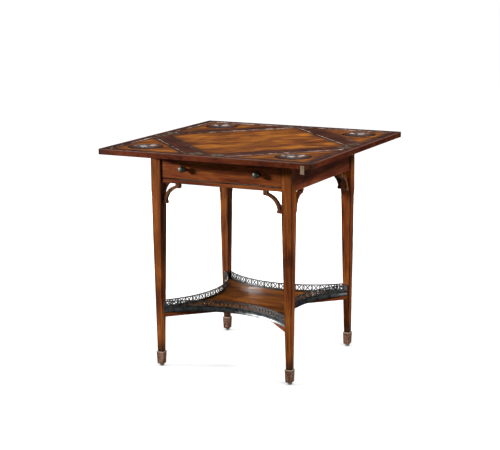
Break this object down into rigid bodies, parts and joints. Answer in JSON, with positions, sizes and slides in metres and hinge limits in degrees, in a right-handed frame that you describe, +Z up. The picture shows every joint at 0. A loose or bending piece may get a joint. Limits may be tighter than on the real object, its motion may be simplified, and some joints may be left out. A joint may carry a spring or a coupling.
{
  "type": "envelope card table",
  "caption": "Square card table whose swivelling top opens like an envelope on folding triangular flaps, with a drawer, spade feet and a galleried undertier shelf.",
  "frame": {"origin": "on the floor, on the axis about which the top swivels, below the middle of the top", "axes": "+Z up; -Y is the front, with the drawer; +X to the right of someone facing the drawer"},
  "size_m": [0.7674, 0.7674, 0.762],
  "materials": {
    "mahogany": "polished mahogany, dark patina",
    "veneered_top": "figured veneer with dark crossbanding, glossy lacquer",
    "turned_wood": "turned mahogany, glossy",
    "secondary_wood": "planed, unfinished",
    "gallery_metal": "dark pewter coloured casting, rubbed bright on its edges",
    "screw_steel": "bright steel",
    "glide_metal": "pressed steel",
    "hinge_brass": "polished, lightly aged",
    "pivot_steel": "plain steel",
    "felt": "green wool felt"
  },
  "bodies": {
    "base": {"leg_front_right": "mahogany", "leg_back_right": "mahogany", "leg_back_left": "mahogany", "leg_front_left": "mahogany", "spade_foot_front_right": "mahogany", "spade_foot_back_right": "mahogany", "spade_foot_back_left": "mahogany", "spade_foot_front_left": "mahogany", "floor_glides": "glide_metal", "apron_left": "mahogany", "apron_right": "mahogany", "apron_back": "mahogany", "front_top_rail": "mahogany", "front_bottom_rail": "mahogany", "arched_brackets": "mahogany", "stretcher_rising": "mahogany", "stretcher_falling": "mahogany", "undertier_shelf": "mahogany", "gallery_front": "gallery_metal", "gallery_right": "gallery_metal", "gallery_back": "gallery_metal", "gallery_left": "gallery_metal", "gallery_screws": "screw_steel", "swivel_bearer": "secondary_wood", "pivot_socket": "pivot_steel", "drawer_runners": "secondary_wood", "felt_pads": "felt"},
    "drawer": {"drawer_front": "mahogany", "drawer_side_left": "secondary_wood", "drawer_side_right": "secondary_wood", "drawer_back": "secondary_wood", "drawer_bottom": "secondary_wood", "drawer_knobs": "gallery_metal"},
    "top": {"centre_panel": "veneered_top", "centre_plug": "turned_wood", "pivot_plate": "pivot_steel", "pivot_bolt": "pivot_steel", "panel_hinge_leaves": "hinge_brass", "panel_screws": "hinge_brass"},
    "link_front_right": {"hinge_links_front_right": "hinge_brass"},
    "flap_front_right": {"flap_front_right": "veneered_top", "counter_well_front_right": "turned_wood", "flap_hinge_leaves_front_right": "hinge_brass", "flap_screws_front_right": "hinge_brass", "lift_tab": "hinge_brass"},
    "link_back_right": {"hinge_links_back_right": "hinge_brass"},
    "flap_back_right": {"flap_back_right": "veneered_top", "counter_well_back_right": "turned_wood", "flap_hinge_leaves_back_right": "hinge_brass", "flap_screws_back_right": "hinge_brass"},
    "link_back_left": {"hinge_links_back_left": "hinge_brass"},
    "flap_back_left": {"flap_back_left": "veneered_top", "counter_well_back_left": "turned_wood", "flap_hinge_leaves_back_left": "hinge_brass", "flap_screws_back_left": "hinge_brass"},
    "link_front_left": {"hinge_links_front_left": "hinge_brass"},
    "flap_front_left": {"flap_front_left": "veneered_top", "counter_well_front_left": "turned_wood", "flap_hinge_leaves_front_left": "hinge_brass", "flap_screws_front_left": "hinge_brass"}
  },
  "joints": [
    {"name": "top_swivel", "type": "hinge", "parent": "base", "child": "top", "pos_m": [0, 0, 0.741], "axis": [0, 0, 1], "range_deg": [0, 45]},
    {"name": "drawer_slide", "type": "slide", "parent": "base", "child": "drawer", "axis": [0, -1, 0], "range_m": [0, 0.3]},
    {"name": "link_front_right_turn", "type": "hinge", "parent": "top", "child": "link_front_right", "pos_m": [0.19028, -0.19028, 0.7598], "axis": [-0.7071, -0.7071, 0], "range_deg": [0, 90]},
    {"name": "flap_front_right_fold", "type": "hinge", "parent": "link_front_right", "child": "flap_front_right", "pos_m": [0.19368, -0.19368, 0.7598], "axis": [-0.7071, -0.7071, 0], "range_deg": [0, 90]},
    {"name": "link_back_right_turn", "type": "hinge", "parent": "top", "child": "link_back_right", "pos_m": [0.19028, 0.19028, 0.7598], "axis": [0.7071, -0.7071, 0], "range_deg": [0, 90]},
    {"name": "flap_back_right_fold", "type": "hinge", "parent": "link_back_right", "child": "flap_back_right", "pos_m": [0.19368, 0.19368, 0.7598], "axis": [0.7071, -0.7071, 0], "range_deg": [0, 90]},
    {"name": "link_back_left_turn", "type": "hinge", "parent": "top", "child": "link_back_left", "pos_m": [-0.19028, 0.19028, 0.7598], "axis": [0.7071, 0.7071, 0], "range_deg": [0, 90]},
    {"name": "flap_back_left_fold", "type": "hinge", "parent": "link_back_left", "child": "flap_back_left", "pos_m": [-0.19368, 0.19368, 0.7598], "axis": [0.7071, 0.7071, 0], "range_deg": [0, 90]},
    {"name": "link_front_left_turn", "type": "hinge", "parent": "top", "child": "link_front_left", "pos_m": [-0.19028, -0.19028, 0.7598], "axis": [-0.7071, 0.7071, 0], "range_deg": [0, 90]},
    {"name": "flap_front_left_fold", "type": "hinge", "parent": "link_front_left", "child": "flap_front_left", "pos_m": [-0.19368, -0.19368, 0.7598], "axis": [-0.7071, 0.7071, 0], "range_deg": [0, 90]}
  ],
  "couplings": [
    {"joint": "link_front_right_turn", "follows": "flap_front_right_fold", "ratio": 1},
    {"joint": "link_back_right_turn", "follows": "flap_back_right_fold", "ratio": 1},
    {"joint": "link_back_left_turn", "follows": "flap_back_left_fold", "ratio": 1},
    {"joint": "link_front_left_turn", "follows": "flap_front_left_fold", "ratio": 1}
  ]
}
